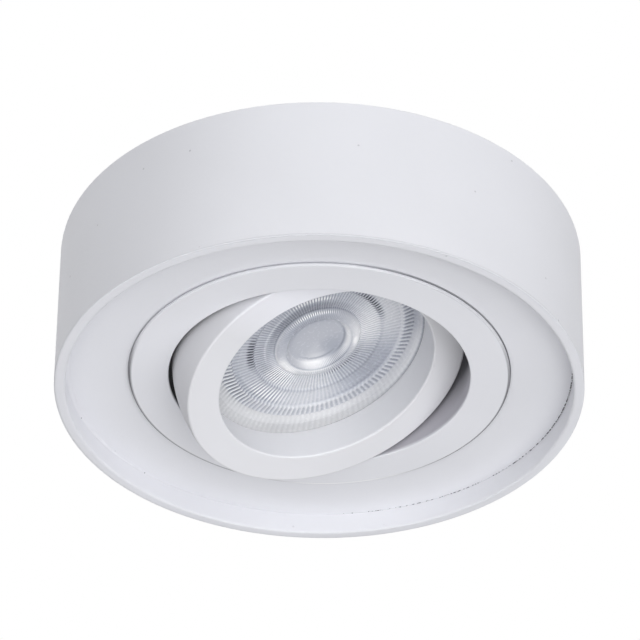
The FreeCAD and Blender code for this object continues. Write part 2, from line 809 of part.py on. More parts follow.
def make_clip_spring(label, side):
    """The torsion coil beside a clip's knuckle, wound round the same pin."""
    knuckle_end = size("clip_knuckle_width") - size("clip_width") / 2
    start = knuckle_end + size("clip_side_gap") + size("spring_wire_radius")
    coil = doc.addObject("Part::Helix", label + "_line")
    coil.setExpression("Radius", "Sizes.spring_radius")
    coil.setExpression("Pitch", "Sizes.spring_pitch")
    coil.setExpression("Height", "Sizes.spring_pitch * Sizes.spring_turns")
    wire = doc.addObject("Part::Circle", label + "_wire")
    wire.setExpression("Radius", "Sizes.spring_wire_radius")
    place(wire, x=size("spring_radius"), axis=X_AXIS, angle=QUARTER_TURN)
    sweep = doc.addObject("Part::Sweep", label)
    sweep.Label = label
    sweep.Sections = [wire]
    sweep.Spine = (coil, ["Edge1"])
    sweep.Solid = True
    sweep.Frenet = True
    place(
        sweep,
        x=clip_pin_x * side,
        y=start * side,
        z=plate_front + clip_pin_height,
        axis=X_AXIS * -side,
        angle=QUARTER_TURN,
    )
    return keep(sweep)


def make_pivot_washers():
    members = []
    for side in (1, -1):
        washer = body_named(f"pivot_washer_{len(members) + 1}")
        section = sketch_in(washer, "XY_Plane", "WasherOutline")
        circle(section, ZERO, ZERO, size("pivot_boss_radius"))
        circle(section, ZERO, ZERO, size("pivot_radius") + size("pivot_play"))
        extruded(washer, "Pad", section, size("pivot_washer_thickness"), "Washer")
        seat = skirt_radius + size("pivot_boss_height")
        members.append(place(washer, y=seat * side, z=pivot_z, axis=X_AXIS * -side, angle=QUARTER_TURN))
    return group("pivot_washers", members)


def make_pivot_screws():
    members = []
    start = ring_radius - size("pivot_thread")
    seat = skirt_radius + size("pivot_boss_height") + size("pivot_washer_thickness")
    top = seat + size("pivot_head_height")
    shank = size("pivot_radius")
    head = size("pivot_head_radius")
    for side in (1, -1):
        screw = body_named(f"pivot_screw_{len(members) + 1}")
        profile = [(ZERO, start), (shank, start), (shank, seat), (head, seat), (head, top), (ZERO, top)]
        turned(screw, profile)
        rounded(screw, size("pivot_head_height") / 2, [(head, top)])
        cut_driver_slot(screw, top, head, size("driver_slot"))
        members.append(place(screw, z=pivot_z, axis=X_AXIS * -side, angle=QUARTER_TURN))
    return group("pivot_screws", members)


def make_tilt_ring():
    body = body_named("tilt_ring")
    centre = (ZERO, ZERO)
    face = -face_drop
    rise = size("ring_rise")
    floor = face + size("face_thickness")
    hollow_radius = ring_radius - size("ring_wall")
    bore_rear = size("lamp_radius") - size("seat_ledge")
    groove_radius = size("lamp_radius") + size("retainer_wire_radius") + size("retainer_groove_play")
    groove_half = size("retainer_wire_radius") + size("retainer_groove_play")
    groove_low = retainer_height - groove_half
    groove_high = retainer_height + groove_half
    tube_end = groove_high + size("bore_lip")
    outer_face = leg(ring_radius, face)
    turned(
        body,
        [
            (size("bore_front_radius"), face),
            (outer_face, face),
            (leg(ring_radius, rise), rise, centre),
            (leg(hollow_radius, rise), rise),
            (leg(hollow_radius, floor), floor, centre),
            (bore_tube_radius, floor),
            (bore_tube_radius, tube_end),
            (counterbore_radius, tube_end),
            (counterbore_radius, groove_high),
            (groove_radius, groove_high),
            (groove_radius, groove_low),
            (counterbore_radius, groove_low),
            (counterbore_radius, seat_height),
            (bore_rear, seat_height),
        ],
    )
    rounded(body, size("face_round"), [(outer_face, face)], "FaceRound")
    rounded(body, size("bore_round"), [(size("bore_front_radius"), face)], "BoreRound")
    boss_start = bore_tube_radius - size("bore_wall") / 2
    boss_length = ring_radius - size("ring_wall") / 2 - boss_start
    thread_start = ring_radius - size("pivot_thread") - size("screw_clearance")
    for side, name in ((1, "Front"), (-1, "Rear")):
        boss = sketch_in(body, "XZ_Plane", name + "BossOutline", boss_start * side)
        circle(boss, ZERO, ZERO, size("pivot_boss_radius"))
        extruded(body, "Pad", boss, boss_length, name + "Boss", backwards=side < 0)
        thread = sketch_in(body, "XZ_Plane", name + "ThreadOutline", thread_start * side)
        circle(thread, ZERO, ZERO, size("pivot_radius") + size("screw_clearance"))
        depth = size("pivot_thread") * 2
        cut_must_remove(body, extruded(body, "Pocket", thread, depth, name + "Thread", backwards=side > 0))
    return keep(on_tilt(body))


def make_retaining_clip():
    body = body_named("retaining_clip")
    section = sketch_in(body, "XZ_Plane", "WireSection")
    circle(section, size("lamp_radius"), ZERO, size("retainer_wire_radius"))
    wire = body.newObject("PartDesign::Revolution", "Wire")
    wire.Profile = section
    wire.ReferenceAxis = (section, ["V_Axis"])
    wire.setExpression("Angle", (FULL_TURN - size("retainer_opening_angle")).text)
    return keep(on_tilt(body, retainer_height))


def make_lamp_lens():
    """The moulded optic: a shallow dish of stepped rings round a sunk centre, and a cone behind."""
    body = body_named("lamp_lens")
    rim = size("lamp_radius")
    dish = size("dish_depth")
    step = dish - size("zone_step")
    collar = size("collar_depth")
    well_floor = collar + lens_depth * size("well_share")
    cavity_top = lens_depth - size("led_cavity_depth")
    turned(
        body,
        [
            (rim, ZERO),
            (rim, size("lens_rim")),
            (rim - size("lens_foot"), size("lens_rim")),
            (size("lens_base_radius"), lens_depth),
            (size("led_cavity_radius"), lens_depth),
            (size("led_cavity_radius"), cavity_top),
            (ZERO, cavity_top),
            (ZERO, well_floor),
            (size("well_radius") - size("well_draft"), well_floor),
            (size("well_radius"), collar),
            (size("collar_radius"), step),
            (size("collar_radius"), dish),
            (size("inner_zone_radius"), step),
            (size("inner_zone_radius"), dish),
            (size("middle_zone_radius"), step),
            (size("middle_zone_radius"), dish),
            (size("outer_zone_radius"), step),
            (rim - size("lens_land"), ZERO),
        ],
    )
    return keep(on_tilt(body, seat_height))


def make_lamp_body():
    """The lamp's finned cup: a floor for the light source and, behind it, a pocket for the driver."""
    body = body_named("lamp_body")
    rim = size("lamp_radius")
    waist = rim - size("lamp_rim_step")
    rear = size("lamp_rear_radius")
    waist_height = size("lamp_rim") * 2
    pocket = rear - size("lamp_wall")
    board_room = size("board_radius") + size("board_clearance")
    turned(
        body,
        [
            (rim - size("lens_foot") + size("board_clearance"), ZERO),
            (rim, ZERO),
            (rim, size("lamp_rim")),
            (waist, size("lamp_rim")),
            (waist, waist_height),
            (rear, lamp_body_length),
            (pocket, lamp_body_length),
            (pocket, driver_floor),
            (ZERO, driver_floor),
            (ZERO, board_seat),
            (board_room, board_seat),
            (board_room, board_seat - size("board_thickness") - size("board_clearance")),
        ],
    )
    gap_half = size("fin_gap") / 2
    gap = sketch_in(body, "XY_Plane", "FinGapOutline", lamp_body_length)
    draw(gap, rectangle(rear - size("fin_root"), -gap_half, rim, gap_half))
    cut = extruded(body, "Pocket", gap, (lamp_body_length - waist_height) * size("fin_share"), "FinGap")
    cut_must_remove(body, cut)
    around(body, cut, size("fin_count"), "FinGaps")
    return keep(on_tilt(body, lamp_body_height))


def make_led_board():
    body = body_named("led_board")
    outline = sketch_in(body, "XY_Plane", "BoardOutline")
    circle(outline, ZERO, ZERO, size("board_radius"))
    extruded(body, "Pad", outline, size("board_thickness"), "Board", backwards=True)
    return keep(on_tilt(body, lamp_body_height + board_seat))


def make_led_emitter():
    """The light source: a round base with a low dome."""
    body = body_named("led_emitter")
    base = -size("led_base_thickness")
    dome = size("led_dome_radius")
    turned(
        body,
        [
            (ZERO, ZERO),
            (size("led_base_radius"), ZERO),
            (size("led_base_radius"), base),
            (dome, base),
            (ZERO, base - size("led_dome_height"), dome_centre(dome, size("led_dome_height"), base)),
        ],
    )
    return keep(on_tilt(body, lamp_body_height + board_seat - size("board_thickness")))


def dome_centre(radius, height, base):
    """Centre of the sphere through a dome's rim and its top, for a dome that points down."""
    sphere = Size(
        (radius.value**2 + height.value**2) / (2 * height.value),
        f"(({radius.text}^2 + {height.text}^2) / (2 * {height.text}))",
    )
    return (ZERO, base - height + sphere)


def make_driver_board():
    """A round circuit board with a capacitor can and a square choke."""
    body = body_named("driver_board")
    radius = size("lamp_rear_radius") - size("lamp_wall") - size("board_clearance")
    outline = sketch_in(body, "XY_Plane", "DriverOutline")
    circle(outline, ZERO, ZERO, radius)
    extruded(body, "Pad", outline, size("driver_thickness"), "Driver", backwards=True)
    parts = sketch_in(body, "XY_Plane", "ComponentOutline", -size("driver_thickness"))
    half = size("choke_width") / 2
    circle(parts, -(radius / 2), ZERO, size("capacitor_radius"))
    draw(parts, rectangle(radius / 2 - half, -half, radius / 2 + half, half))
    extruded(body, "Pad", parts, component_height, "Components", backwards=True)
    return keep(on_tilt(body, cap_height))


def make_lamp_rear_cap():
    body = body_named("lamp_rear_cap")
    outline = sketch_in(body, "XY_Plane", "CapOutline")
    circle(outline, ZERO, ZERO, size("lamp_rear_radius") - size("lamp_wall") - size("plate_clearance"))
    circle(outline, ZERO, ZERO, size("gland_radius"))
    extruded(body, "Pad", outline, size("cap_thickness"), "Cap")
    return keep(on_tilt(body, cap_height))


def make_lead_gland():
    """The rubber bush in the lamp's rear cap where its leads come out."""
    body = body_named("lead_gland")
    hole = size("lead_hole_radius")
    neck = size("gland_radius") - size("screw_clearance")
    flange = size("gland_radius") + size("gland_flange")
    seat = size("cap_thickness")
    top = seat + size("gland_flange_thickness")
    turned(body, [(hole, ZERO), (neck, ZERO), (neck, seat), (flange, seat), (flange, top), (hole, top)])
    return keep(on_tilt(body, cap_height))


make_housing_tube()
make_screw_lugs()
make_front_plate()
make_mounting_bar()
make_bar_screws()
make_cable_grommet()
make_terminal_block()
make_terminal_clamps()
make_terminal_screws()
keep(make_countersunk_screw("terminal_fixing_screw", "block_screw", ZERO, block_y))
make_earth_screw()
make_earth_washer()
make_trim_ring()
make_clip_pins()
make_pivot_washers()
for side, name in ((1, "right"), (-1, "left")):
    make_clip_arm(f"clip_arm_{name}", side)
    make_clip_spring(f"clip_spring_{name}", side)
make_tilt_ring()
make_pivot_screws()
make_retaining_clip()
make_lamp_lens()
make_lamp_body()
make_led_board()
make_led_emitter()
make_driver_board()
make_lamp_rear_cap()
make_lead_gland()
doc.recompute()

for obj in doc.Objects:
    if "Invalid" in obj.State or "Error" in obj.State:
        raise ValueError(f"{obj.Label} failed: {obj.State}")
for obj in subparts:
    if obj.Shape.isNull() or not obj.Shape.isValid():
        raise ValueError(f"{obj.Label} has no valid shape")


def coil_gap(coil, wire_radius):
    """The least clear distance between turns, measured on points along the wire's centre line."""
    points = coil.Shape.Edges[0].discretize(Number=COIL_POINTS)
    turn = round(COIL_POINTS / size("spring_turns").value)
    nearest = min(
        (points[first] - points[second]).Length
        for first in range(COIL_POINTS)
        for second in range(first + turn // 2, COIL_POINTS)
    )
    return nearest - 2 * wire_radius


COIL_POINTS = 240
for name in ("right", "left"):
    gap = coil_gap(doc.getObject(f"clip_spring_{name}_line"), size("spring_wire_radius").value)
    print(f"clip_spring_{name}: least gap between turns {gap:.2f} mm")

os.makedirs("parts", exist_ok=True)
for obj in subparts:
    obj.Shape.exportStep(os.path.join("parts", obj.Label + ".step"))
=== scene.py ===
import math
from collections import namedtuple

import bpy
from mathutils import Matrix, Vector


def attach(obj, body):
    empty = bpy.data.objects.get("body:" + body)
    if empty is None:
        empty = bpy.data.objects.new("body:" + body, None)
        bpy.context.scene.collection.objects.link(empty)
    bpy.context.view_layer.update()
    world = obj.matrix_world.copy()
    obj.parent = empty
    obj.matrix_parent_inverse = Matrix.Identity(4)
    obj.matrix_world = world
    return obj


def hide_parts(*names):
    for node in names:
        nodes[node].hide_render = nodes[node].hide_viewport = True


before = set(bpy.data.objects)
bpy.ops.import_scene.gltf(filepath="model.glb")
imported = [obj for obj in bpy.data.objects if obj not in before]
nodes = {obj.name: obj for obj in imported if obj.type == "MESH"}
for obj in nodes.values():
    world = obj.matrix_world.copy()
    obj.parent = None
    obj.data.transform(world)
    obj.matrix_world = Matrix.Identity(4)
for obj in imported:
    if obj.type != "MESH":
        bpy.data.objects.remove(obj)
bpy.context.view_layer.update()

MM = 0.001
scene = bpy.context.scene

# The photograph's camera: below the light, a little to its right, with a long lens. Lengths in metres.
VIEW_AZIMUTH = math.radians(24.3)
VIEW_ELEVATION = math.radians(-36.54)
VIEW_ROLL = math.radians(0.657)
VIEW_DISTANCE = 0.952
VIEW_REACH = 50
FOCAL_LENGTH = 248.2
AIM_BELOW_ORIGIN = 0.0121

# Soft panels round the object: their size and distance in metres, then each panel's place in degrees,
# from the camera's bearing towards its right and above level, and its power in watts.
PANEL_SIZE = 1.6
PANEL_DISTANCE = 2.0
PANELS = {
    "front_panel": (0, -20, 17.2),
    "right_panel": (45, -20, 13.2),
    "low_right_panel": (45, -55, 13.4),
    "low_left_panel": (270, -55, 4.6),
    "left_panel": (328, 15, 7.8),
    "back_right_panel": (135, 50, 8.4),
    "back_left_panel": (225, 50, 11.0),
    "back_panel": (180, 12, 12.0),
    "overhead_panel": (0, 90, 18.0),
}
LIGHT_COLOUR = (0.98, 0.984, 1.0)
# The even light between the panels.
AMBIENT = 0.19

# The floor, well below the light, glows a little so that it stays pale from every side. Lengths in metres.
FLOOR_COLOUR = (0.85, 0.85, 0.86)
FLOOR_GLOW = 0.15
FLOOR_DROP = 2.7
FLOOR_RADIUS = 2.8
FLOOR_CORNERS = 128

# The tilting ring's axis at rest, and the lamp's seat along it in mm, as in the part's source.
PIVOT = Vector((0.0, 0.0, -25.05)) * MM
TILT = math.radians(20.9)
SEAT_HEIGHT = 2.95

# The corner of lip and front plate, the tube's rim, and the trim's outer edge and opening, as in the part's
# source.
LIP_RADIUS = 53.7 * MM
PLATE_FACE = -29.3 * MM
RIM_RADIUS = 56.0 * MM
RIM_HEIGHT = -34.0 * MM
TRIM_RADIUS = 40.4 * MM
TRIM_OPENING = 31.97 * MM
# Heights between which the wall of the trim's opening starts, and between which painted shade darkens it.
WALL_STARTS = (-30.2 * MM, -29.4 * MM)
WALL_DARKENS = (-27.8 * MM, -22.6 * MM)

# Paints, and the colours of painted light and shade.
WHITE = (0.80, 0.804, 0.836)
# Painted shade: the fillet is a little darker than the plate's white, to dim a bright line of light along it.
FILLET_SHADED_WHITE = (0.78, 0.784, 0.815)
TRIM_WHITE = (0.818, 0.822, 0.854)
TILT_WHITE = (0.758, 0.759, 0.782)
# Painted light inside the tube's lip.
LIP_LIT_WHITE = (0.85, 0.854, 0.885)
# Painted light on the tilting ring's near side.
TOP_LIT_WHITE = (0.85, 0.853, 0.895)
# Painted light in the tilting ring's bore, brightest at the far right.
BORE_LIT_WHITE = (0.79, 0.792, 0.812)
BORE_LIT_BRIGHT = (0.87, 0.873, 0.89)
# A painted highlight on the trim's outer edge.
EDGE_HIGHLIGHT_WHITE = (1.0, 1.0, 1.0)
# Painted shade on the outer edge of the tube's rim.
RIM_SHADE_GREY = (0.63, 0.633, 0.66)
# Painted shade on the trim's near outer edge.
NEAR_EDGE_SHADE_GREY = (0.66, 0.663, 0.69)
WALL_GREY = (0.49, 0.48, 0.52)
PIT_GREY = (0.16, 0.16, 0.18)
# A painted shadow on the plate beside the trim's flange.
FLANGE_SHADOW_BLACK = (0.1, 0.1, 0.115)
# Painted shade on the trim's outer edge.
EDGE_SHADE_BLACK = (0.09, 0.09, 0.1)
CHIP_BLACK = (0.06, 0.06, 0.07)
CRACK_BLACK = (0.05, 0.05, 0.06)
# Painted shade deep in the trim's opening.
WALL_SHADE_BLACK = (0.02, 0.02, 0.025)

# Arcs round the upright axis that carry marks and painted light and shade: the middle, the reach to either
# side and the softness of the ends, in degrees, and the mark's strength. The camera has 24 at its right, 114
# at the far side, 204 at its left and 294 at the near side.
Arc = namedtuple("Arc", "middle reach soft strength", defaults=[1.0])
SOFT_RIM = Arc(150, 70, 30)
SHADED_RIM = Arc(-50, 46, 24)
LIT_LIP = Arc(62, 52, 30)
SEAM = Arc(62, 50, 9, 0.45)
DENSE_SEAM = Arc(34, 18, 14, 0.1)
CHIPS = Arc(176, 16, 4)
FLANGE_SHADOW_RIGHT = Arc(28, 34, 26, 0.95)
FLANGE_SHADOW_NEAR_RIGHT = Arc(-14, 30, 14, 0.6)
FLANGE_SHADOW_LEFT = Arc(207, 18, 16, 0.62)
EDGE_SHADE_RIGHT = Arc(50, 32, 14, 0.85)
EDGE_SHADE_LEFT = Arc(172, 44, 10, 0.85)
SHADED_NEAR_EDGE = Arc(-6, 34, 16)
HIGHLIT_EDGE = Arc(103, 20, 8)
LESS_SHADED_WALL = Arc(86, 34, 22, 0.85)
SHADED_LEFT_WALL = Arc(200, 60, 12)
LIT_RING_TOP = Arc(294, 24, 18)
LIT_BORE = Arc(84, 32, 26)

# The ranges that fine noise, drawn lines and clouds mostly cover.
GRAIN_RANGE = (0.3, 0.7)
LINE_RANGE = (0.25, 0.75)
CLOUD_RANGE = (0.35, 0.65)
# How squarely a surface of the tilting ring faces the upright axis, where its bore starts and is sure.
BORE_FACING = (0.75, 0.92)
# The paint up close: the shade of its clouds, how dark and how deep its pits are, and how much of its relief
# is fine.
PAINT_CLOUD = 0.955
PIT_STRENGTH = 0.32
PIT_DEPTH = 1.5
FINE_RELIEF = 0.45

# Places of the colour and vector sockets among those of a Mix node.
MIX_COLOURS = (6, 7)
MIX_COLOUR_OUT = 2
MIX_VECTORS = (4, 5)
MIX_VECTOR_OUT = 1


def make_camera():
    """The photograph's camera; returns the direction back to it and the level direction to its right."""
    level = math.cos(VIEW_ELEVATION)
    back = Vector((math.sin(VIEW_AZIMUTH) * level, -math.cos(VIEW_AZIMUTH) * level, math.sin(VIEW_ELEVATION)))
    side = Vector((math.cos(VIEW_AZIMUTH), math.sin(VIEW_AZIMUTH), 0.0))
    upward = back.cross(side)
    place = back * VIEW_DISTANCE
    away = (place + upward * AIM_BELOW_ORIGIN).normalized()
    right = side * math.cos(VIEW_ROLL) + upward * math.sin(VIEW_ROLL)
    top = away.cross(right).normalized()
    right = top.cross(away)
    data = bpy.data.cameras.new("photo_camera")
    data.lens = FOCAL_LENGTH
    data.clip_end = VIEW_REACH
    camera = bpy.data.objects.new("photo_camera", data)
    camera.matrix_world = Matrix.Translation(place) @ Matrix((right, top, away)).transposed().to_4x4()
    scene.collection.objects.link(camera)
    scene.camera = camera
    return back, side


class Shader:
    """A node material with one Principled shader."""

    def __init__(self, name, **values):
        self.material = bpy.data.materials.new(name)
        self.material.use_nodes = True
        self.tree = self.material.node_tree
        self.surface = self.tree.nodes["Principled BSDF"]
        for socket, value in values.items():
            self.surface.inputs[socket.replace("_", " ")].default_value = value
        coordinates = self.node("ShaderNodeTexCoord").outputs
        self.place = coordinates["Object"]
        self.facing = coordinates["Normal"]

    def node(self, kind, **settings):
        made = self.tree.nodes.new(kind)
        for name, value in settings.items():
            setattr(made, name, value)
        return made

    def link(self, source, target):
        self.tree.links.new(source, target)

    def math(self, operation, first, second=0.0):
        made = self.node("ShaderNodeMath", operation=operation)
        for socket, term in zip(made.inputs, (first, second)):
            if isinstance(term, (int, float)):
                socket.default_value = term
            else:
                self.link(term, socket)
        return made.outputs[0]

    def product(self, first, *others):
        """All the values multiplied together."""
        for other in others:
            first = self.math("MULTIPLY", first, other)
        return first

    def spread(self, value, low, high, to_low=0.0, to_high=1.0):
        """Map a value from one range to another, held at the ends."""
        made = self.node("ShaderNodeMapRange")
        self.link(value, made.inputs["Value"])
        for name, number in (("From Min", low), ("From Max", high), ("To Min", to_low), ("To Max", to_high)):
            made.inputs[name].default_value = number
        return made.outputs["Result"]

    def stretched(self, scale):
        """The place, scaled along each axis."""
        made = self.node("ShaderNodeMapping")
        self.link(self.place, made.inputs["Vector"])
        made.inputs["Scale"].default_value = scale
        return made.outputs["Vector"]

    def noise(self, scale, detail, place=None):
        made = self.node("ShaderNodeTexNoise")
        self.link(place or self.place, made.inputs["Vector"])
        made.inputs["Scale"].default_value = scale
        made.inputs["Detail"].default_value = detail
        return made.outputs["Fac"]

    def cells(self, scale):
        """Distance from the middle of a cell, and a number of the cell's own from 0 to 1."""
        made = self.node("ShaderNodeTexVoronoi")
        self.link(self.place, made.inputs["Vector"])
        made.inputs["Scale"].default_value = scale
        parts = self.node("ShaderNodeSeparateColor")
        self.link(made.outputs["Color"], parts.inputs["Color"])
        return made.outputs["Distance"], parts.outputs["Red"]

    def spots(self, scale, share, core, edge):
        """Round spots in a share of the cells; core and edge are radii, as parts of a cell."""
        distance, pick = self.cells(scale)
        chosen = self.math("GREATER_THAN", pick, 1.0 - share)
        return self.product(chosen, self.spread(distance, core, edge, 1.0, 0.0))

    def coordinate(self, axis):
        made = self.node("ShaderNodeSeparateXYZ")
        self.link(self.place, made.inputs["Vector"])
        return made.outputs[axis]

    def axis_radius(self):
        """Distance from the light's upright axis."""
        x = self.coordinate("X")
        y = self.coordinate("Y")
        return self.math("SQRT", self.math("ADD", self.product(x, x), self.product(y, y)))

    def beyond(self, radius, start, end):
        """One outside a radius: it rises from nothing between two distances from that radius, in mm."""
        return self.spread(self.axis_radius(), radius + start * MM, radius + end * MM)

    def within(self, radius, start, end):
        """One inside a radius: it falls to nothing between two distances from that radius, in mm."""
        return self.spread(self.axis_radius(), radius + start * MM, radius + end * MM, 1.0, 0.0)

    def around(self, arc):
        """The arc's strength on an arc round the upright axis, and nothing outside it."""
        turn = math.radians(arc.middle)
        x = self.product(self.coordinate("X"), math.cos(turn))
        y = self.product(self.coordinate("Y"), math.sin(turn))
        nearness = self.math("DIVIDE", self.math("ADD", x, y), self.axis_radius())
        outer, inner = (math.cos(math.radians(edge)) for edge in (arc.reach + arc.soft, arc.reach - arc.soft))
        return self.spread(nearness, outer, inner, to_high=arc.strength)

    def facing_axis(self):
        """One where the surface faces the light's upright axis, and less where it is turned away."""
        outward = self.node("ShaderNodeVectorMath", operation="DOT_PRODUCT")
        self.link(self.stretched((1.0, 1.0, 0.0)), outward.inputs[0])
        self.link(self.facing, outward.inputs[1])
        return self.math("DIVIDE", outward.outputs["Value"], self.product(self.axis_radius(), -1.0))

    def mix(self, share, first, second):
        """A colour between two; each is a colour or a node's output."""
        made = self.node("ShaderNodeMix", data_type="RGBA")
        self.link(share, made.inputs["Factor"])
        for place, colour in zip(MIX_COLOURS, (first, second)):
            if isinstance(colour, tuple):
                made.inputs[place].default_value = (*colour, 1.0)
            else:
                self.link(colour, made.inputs[place])
        return made.outputs[MIX_COLOUR_OUT]

    def soft_edges(self, radius, share):
        """Surface direction with the edges rounded over a radius, where the share is one."""
        rounded = self.node("ShaderNodeBevel", samples=6)
        rounded.inputs["Radius"].default_value = radius
        plain = self.node("ShaderNodeNewGeometry").outputs["Normal"]
        made = self.node("ShaderNodeMix", data_type="VECTOR")
        self.link(share, made.inputs["Factor"])
        for place, direction in zip(MIX_VECTORS, (plain, rounded.outputs["Normal"])):
            self.link(direction, made.inputs[place])
        return made.outputs[MIX_VECTOR_OUT]

    def attribute(self, name):
        return self.node("ShaderNodeAttribute", attribute_name=name).outputs["Fac"]

    def ramp(self, value, stops):
        """Colours along a value from 0 to 1, from three stops."""
        made = self.node("ShaderNodeValToRGB")
        self.link(value, made.inputs["Fac"])
        made.color_ramp.elements.new(stops[1][0])
        for element, (place, colour) in zip(made.color_ramp.elements, stops):
            element.position = place
            element.color = (*colour, 1.0)
        return made.outputs["Color"]

    def bump(self, height, strength, distance, edges=None):
        """Relief on the surface; the distance is its full height in mm."""
        made = self.node("ShaderNodeBump")
        if edges:
            self.link(edges, made.inputs["Normal"])
        made.inputs["Strength"].default_value = strength
        made.inputs["Distance"].default_value = distance * MM
        self.link(height, made.inputs["Height"])
        self.link(made.outputs["Normal"], self.surface.inputs["Normal"])

    def colour(self, source):
        self.link(source, self.surface.inputs["Base Color"])

    def roughness(self, source):
        self.link(source, self.surface.inputs["Roughness"])


def darker(colour, share):
    """A colour with a share of its brightness."""
    return tuple(channel * share for channel in colour)


def powder_coat(name, colour, *marks, grain, pits=0.1, edges=None, dull=None):
    """White textured paint with pits, and with the marks, painted light and shade, soft edges and dull places
    of its piece.
    """
    paint = Shader(name, Specular_IOR_Level=0.35)
    fine = paint.noise(scale=2400.0, detail=3.0)
    peel = paint.noise(scale=700.0, detail=1.0)
    cloud = paint.noise(scale=22.0, detail=2.0)
    pit = paint.spots(scale=160.0, share=pits, core=0.025, edge=0.05)
    base = paint.mix(paint.spread(cloud, *CLOUD_RANGE), darker(colour, PAINT_CLOUD), colour)
    base = paint.mix(paint.product(pit, PIT_STRENGTH), base, PIT_GREY)
    for mark in marks:
        base = mark(paint, base)
    paint.colour(base)
    rough = paint.spread(fine, *GRAIN_RANGE, to_low=0.42, to_high=0.58)
    paint.roughness(paint.math("MAXIMUM", rough, dull(paint)) if dull else rough)
    height = paint.math("ADD", paint.product(fine, FINE_RELIEF), paint.product(peel, 1.0 - FINE_RELIEF))
    height = paint.math("SUBTRACT", height, paint.product(pit, PIT_DEPTH))
    paint.bump(height, strength=grain, distance=0.12, edges=edges(paint) if edges else None)
    return paint.material


def soft_lip(paint):
    """Thick paint on the inner edge of the tube's rim, and on both edges at the far side."""
    inner = paint.within(LIP_RADIUS, 0.9, 1.5)
    return paint.soft_edges(0.9 * MM, paint.math("MAXIMUM", inner, paint.around(SOFT_RIM)))


def rim_edge(paint):
    """One on the outer edge of the tube's rim, at the near side."""
    low = paint.spread(paint.coordinate("Z"), RIM_HEIGHT, RIM_HEIGHT + 0.4 * MM, 1.0, 0.0)
    return paint.product(paint.beyond(RIM_RADIUS, -0.42, -0.24), low, paint.around(SHADED_RIM))


def painted_shade_rim(paint, base):
    """Painted shade that greys the outer edge of the tube's rim at the near side, in place of its highlight.
    """
    return paint.mix(rim_edge(paint), base, RIM_SHADE_GREY)


def painted_light_lip(paint, base):
    """Painted light that whitens the inside of the tube's lip, at the right."""
    inside = paint.within(LIP_RADIUS, 0.02, 0.3)
    return paint.mix(paint.product(inside, paint.around(LIT_LIP)), base, LIP_LIT_WHITE)


def cracked_seam(paint, base):
    """Dark dashes where the paint has cracked between plate and lip, closest together at the right."""
    near = paint.beyond(LIP_RADIUS, -0.32, -0.22)
    density = paint.math("ADD", paint.around(SEAM), paint.around(DENSE_SEAM))
    broken = paint.math("LESS_THAN", paint.noise(scale=2200.0, detail=1.0), density)
    return paint.mix(paint.product(near, broken), base, CRACK_BLACK)


def chipped_corner(paint, base):
    """A few dark chips in the paint in the corner, at the left."""
    chip = paint.spots(scale=900.0, share=0.2, core=0.12, edge=0.2)
    return paint.mix(paint.product(chip, paint.around(CHIPS)), base, CHIP_BLACK)


def painted_flange_shadow(paint, base):
    """A painted shadow on the plate beside the trim's flange, standing for a narrow gap under it, widest at
    the right.
    """
    near = paint.within(TRIM_RADIUS, 0.1, 0.22)
    right = paint.math("MAXIMUM", paint.around(FLANGE_SHADOW_RIGHT), paint.around(FLANGE_SHADOW_NEAR_RIGHT))
    share = paint.math("ADD", right, paint.around(FLANGE_SHADOW_LEFT))
    return paint.mix(paint.product(near, share), base, FLANGE_SHADOW_BLACK)


def painted_shade_edge(paint, base):
    """Painted shade on the trim's outer edge at the right and the left, a dark line where it meets the plate.
    """
    right = paint.product(paint.beyond(TRIM_RADIUS, -0.62, -0.36), paint.around(EDGE_SHADE_RIGHT))
    left = paint.product(paint.beyond(TRIM_RADIUS, -0.72, -0.26), paint.around(EDGE_SHADE_LEFT))
    return paint.mix(paint.math("ADD", right, left), base, EDGE_SHADE_BLACK)


def painted_shade_near_edge(paint, base):
    """Painted shade that greys the trim's outer edge at the near right, in place of its highlight."""
    near = paint.beyond(TRIM_RADIUS, -0.5, -0.4)
    return paint.mix(paint.product(near, paint.around(SHADED_NEAR_EDGE)), base, NEAR_EDGE_SHADE_GREY)


def painted_highlight_edge(paint, base):
    """A painted highlight on the trim's outer edge, at the far side."""
    near = paint.beyond(TRIM_RADIUS, -0.56, -0.46)
    return paint.mix(paint.product(near, paint.around(HIGHLIT_EDGE)), base, EDGE_HIGHLIGHT_WHITE)


def inner_wall(paint):
    """One on the wall of the trim's opening, behind its front edge."""
    behind = paint.spread(paint.coordinate("Z"), *WALL_STARTS)
    return paint.product(paint.within(TRIM_OPENING, 0.6, 1.0), behind)


def shaded_dull_wall(paint):
    """One where that wall is dull and darkened by painted shade: deep inside, less so at the far side, and
    all of the left.
    """
    shaded_share = paint.math("SUBTRACT", 1.0, paint.around(LESS_SHADED_WALL))
    deep = paint.product(paint.spread(paint.coordinate("Z"), *WALL_DARKENS), shaded_share)
    return paint.product(inner_wall(paint), paint.math("MAXIMUM", deep, paint.around(SHADED_LEFT_WALL)))


def grey_shaded_wall(paint, base):
    """Grey on the wall of the trim's opening, and painted shade that darkens it to near black where it is
    dull.
    """
    base = paint.mix(inner_wall(paint), base, WALL_GREY)
    return paint.mix(shaded_dull_wall(paint), base, WALL_SHADE_BLACK)


def painted_light_top(paint, base):
    """Painted light that whitens the near side of the tilting ring."""
    return paint.mix(paint.around(LIT_RING_TOP), base, TOP_LIT_WHITE)


def painted_light_bore(paint, base):
    """Painted light that whitens the tilting ring's bore, most of all at the far right."""
    inside = paint.spread(paint.facing_axis(), *BORE_FACING)
    base = paint.mix(inside, base, BORE_LIT_WHITE)
    return paint.mix(paint.product(inside, paint.around(LIT_BORE)), base, BORE_LIT_BRIGHT)


